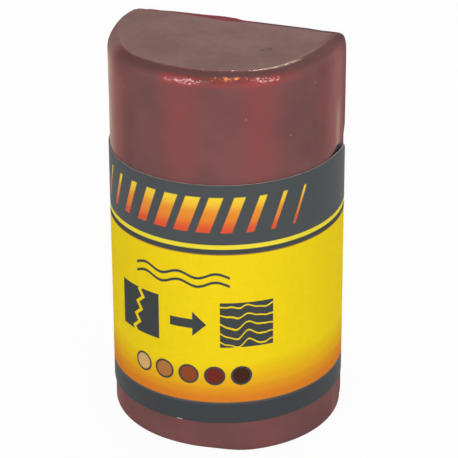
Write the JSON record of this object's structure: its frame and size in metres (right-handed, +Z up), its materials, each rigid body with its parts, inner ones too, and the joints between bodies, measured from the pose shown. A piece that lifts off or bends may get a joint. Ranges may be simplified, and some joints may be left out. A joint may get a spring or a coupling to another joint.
{
  "type": "furniture repair wax stick",
  "caption": "Half-round bar of coloured filler wax for furniture scratches, with rounded ends, a flat back and a printed paper label wrapped round its middle.",
  "frame": {"origin": "on the axis of the round front, at the base that the stick stands on", "axes": "+Z up along the stick to its working end, -Y out of the round front, +Y out of the flat back, +X to the right as seen from the front"},
  "size_m": [0.0256, 0.0177, 0.0448],
  "materials": {
    "wax": null,
    "adhesive": null,
    "label": "matte printed paper in yellow and dark slate"
  },
  "bodies": {
    "root": {"wax_bar": "wax", "label_adhesive": "adhesive", "label_paper": "label"}
  },
  "joints": []
}
